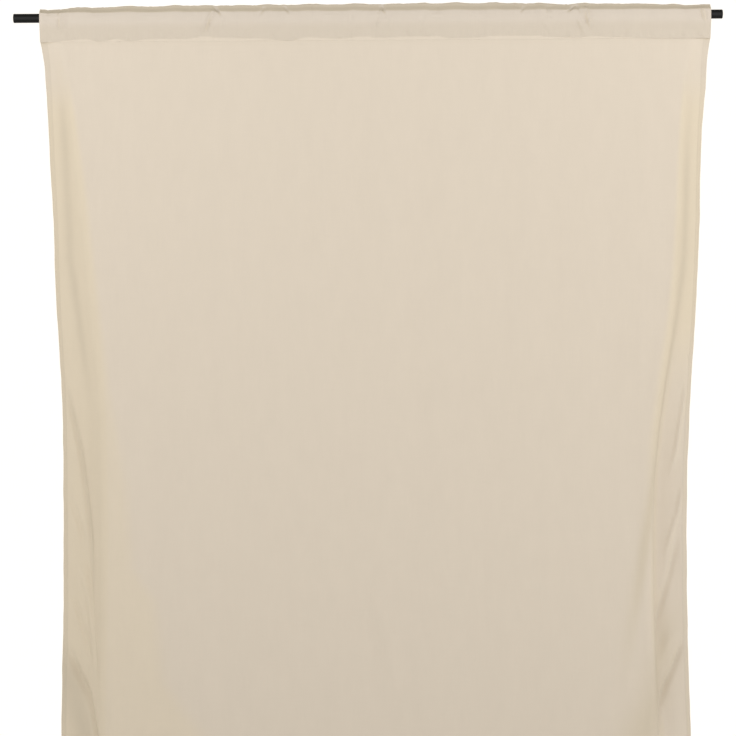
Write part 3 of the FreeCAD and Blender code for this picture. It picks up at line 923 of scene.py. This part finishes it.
def pocket_pieces():
    nodes = {"left": ["pocket_end_left"], "middle": ["rod_pocket"], "right": ["pocket_end_right"]}
    across, points, normals, around, seam, (warm, doubled) = pocket_grid()
    spans = {
        "left": between(across, -HALF, -FLAT_HALF),
        "middle": between(across, -FLAT_HALF, FLAT_HALF),
        "right": between(across, FLAT_HALF, HALF),
    }
    # The cloth thins out at both feet.
    taper = 0.15 + 0.85 * smooth(np.minimum(around, around[-1] - around), 0, 0.0035)
    half = len(points) // 2
    made = {}
    for where, columns in spans.items():
        places = np.broadcast_arrays(across[None, columns], around[:, None])
        places = np.stack(places, axis=-1)[::-1]
        outer = points[:, columns][::-1]
        inner = outer - (normals[:, columns] * CLOTH * taper[:, None, None])[::-1]
        shades = (warm[:, columns][::-1], doubled[:, columns][::-1])
        piece = cloth_piece(f"pocket_cloth_{where}", outer, inner, places, shades, CLOTH_LOOK)
        made[where] = settle(piece, where, POCKET_BODIES, nodes[where])
        indices = range(columns.start, columns.stop)
        rows = [np.abs(points[:half, c, 2] - seam[0, c]).argmin() for c in indices]
        picked = (rows, indices)
        line = points[picked].copy()
        line[:, 2] = seam[0, columns]
        thread = stitches(f"pocket_stitches_{where}", line, normals[picked], THREAD)
        node = "pocket_seam_end" if where == "right" else "pocket_seam"
        made[f"{where}_stitches"] = settle(thread, where, POCKET_BODIES, [node])
    return made


# ---------------------------------------------------------------- the label


def label_piece():
    """The blank care label, a short ribbon that stands a little away from the cloth."""
    low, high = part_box("care_label")
    left = LABEL_INSET - HEM_START
    columns = between(ACROSS, left, left + LABEL_WIDTH)
    rows = between(DOWN, PIVOT - high.z, PIVOT - low.z)
    away = 0.0006 + 0.0035 * smooth(DOWN[rows], PIVOT - high.z, PIVOT - low.z)[:, None]
    sheet = part_of(rows, columns, -CLOTH / 2 - away, -CLOTH / 2 - away - LABEL_THICKNESS)
    piece = cloth_piece("blank_care_label", *sheet, tones(rows, columns, 0), LABEL)
    settle(piece, "left", BODIES, ["care_label"])
    # The stitches lie on the label's back, along its second row of points.
    line = POINTS[rows, columns][1] - NORMALS[rows, columns][1] * (CLOTH / 2 + 0.0010)
    thread = stitches("label_stitches", line, -NORMALS[rows, columns][1], THREAD)
    settle(thread, "left", BODIES, ["label_stitch"])


# ---------------------------------------------------------------- assembly

drops = drop_pieces()
side_hems = {where: side_hem_piece(where, side) for where, side in (("left", -1), ("right", 1))}
bottoms = bottom_hem_pieces()
for where, side in (("left", -1), ("right", 1)):
    side_stitches(where, side)
bottom_threads = {
    where: bottom_stitches(where, "bottom_seam_end" if where == "right" else "bottom_seam")
    for where in SPANS
}
pockets = pocket_pieces()
label_piece()

rod_look, plug_look = rod_material(), plug_material()
for node, look in (
    ("curtain_rod", rod_look),
    ("end_plug_left", plug_look),
    ("end_plug_right", plug_look),
):
    piece = frame["nodes"][node]
    piece.data.materials.clear()
    piece.data.materials.append(look)

# ---------------------------------------------------------------- floor, light and camera


def make_floor():
    mesh = bpy.data.meshes.new("studio_floor")
    bm = bmesh.new()
    bmesh.ops.create_circle(bm, cap_ends=True, segments=96, radius=3.2)
    bm.to_mesh(mesh)
    bm.free()
    material, _, shader = new_material("pale_floor")
    shader.inputs["Base Color"].default_value = (0.80, 0.80, 0.79, 1)
    shader.inputs["Roughness"].default_value = 0.8
    floor = add_object("studio_floor", mesh, material)
    floor.location = (0, 0, BOTTOM - 0.012)


def soft_box(name, place, target, width, height, watts):
    data = bpy.data.lights.new(name, "AREA")
    data.shape = "RECTANGLE"
    data.size, data.size_y = width, height
    data.energy = watts
    lamp = bpy.data.objects.new(name, data)
    lamp.location = place
    lamp.rotation_euler = (Vector(target) - Vector(place)).to_track_quat("-Z", "Y").to_euler()
    bpy.context.scene.collection.objects.link(lamp)


def make_world():
    """A white studio: brighter on the camera's side, a little warm behind, and darker overhead."""
    world = bpy.data.worlds.new("studio")
    bpy.context.scene.world = world
    world.use_nodes = True
    tree = world.node_tree
    coordinates = tree.nodes.new("ShaderNodeTexCoord")
    split = tree.nodes.new("ShaderNodeSeparateXYZ")
    tree.links.new(coordinates.outputs["Generated"], split.inputs[0])
    behind = tree.nodes.new("ShaderNodeMapRange")
    behind.inputs["From Min"].default_value = -0.5
    behind.inputs["From Max"].default_value = 0.3
    tree.links.new(split.outputs["Y"], behind.inputs["Value"])
    around = mix_colour(tree, behind.outputs["Result"], (1.52, 1.52, 1.52), (1.10, 1.06, 1.00))
    overhead = tree.nodes.new("ShaderNodeMapRange")
    overhead.inputs["From Min"].default_value = 0.20
    overhead.inputs["From Max"].default_value = 0.65
    tree.links.new(split.outputs["Z"], overhead.inputs["Value"])
    sky = mix_colour(tree, overhead.outputs["Result"], around, (0.34, 0.33, 0.31))
    tree.links.new(sky, tree.nodes["Background"].inputs["Color"])


def make_camera():
    """Level with the middle of the part that shows, a touch rolled so that the rod rises to the
    right. The frame's sides are a little outside the rod's ends and cut the cloth off below."""
    frame_width = 1.537
    distance = 4.6
    above_rod = 0.034
    roll = math.radians(0.36)
    height = above_rod - frame_width / 2
    data = bpy.data.cameras.new("camera")
    data.sensor_width = 36
    data.lens = data.sensor_width * distance / frame_width
    camera = bpy.data.objects.new("camera", data)
    right = Vector((math.cos(roll), 0, -math.sin(roll)))
    up = Vector((math.sin(roll), 0, math.cos(roll)))
    place = Vector((height * math.tan(roll), -distance, height))
    turned = Matrix((right, up, (0, -1, 0))).transposed().to_4x4()
    camera.matrix_world = Matrix.Translation(place) @ turned
    bpy.context.scene.collection.objects.link(camera)
    bpy.context.scene.camera = camera


make_floor()
make_world()
soft_box("upper_left", (-1.3, -1.05, 0.25), (-0.62, 0, -0.1), 0.6, 0.6, 2.4)
soft_box("upper_right", (1.3, -1.05, 0.25), (0.62, 0, -0.1), 0.6, 0.6, 2.4)
soft_box("low_right", (2.0, -0.7, -1.35), (0.62, 0.05, -1.2), 0.6, 0.9, 2.8)
soft_box("low_front", (0, -3.4, -1.7), (0, 0, -1.4), 1.4, 1.4, 6)
make_camera()
scene = bpy.context.scene
scene.view_settings.view_transform = "Standard"
scene.view_settings.look = "None"
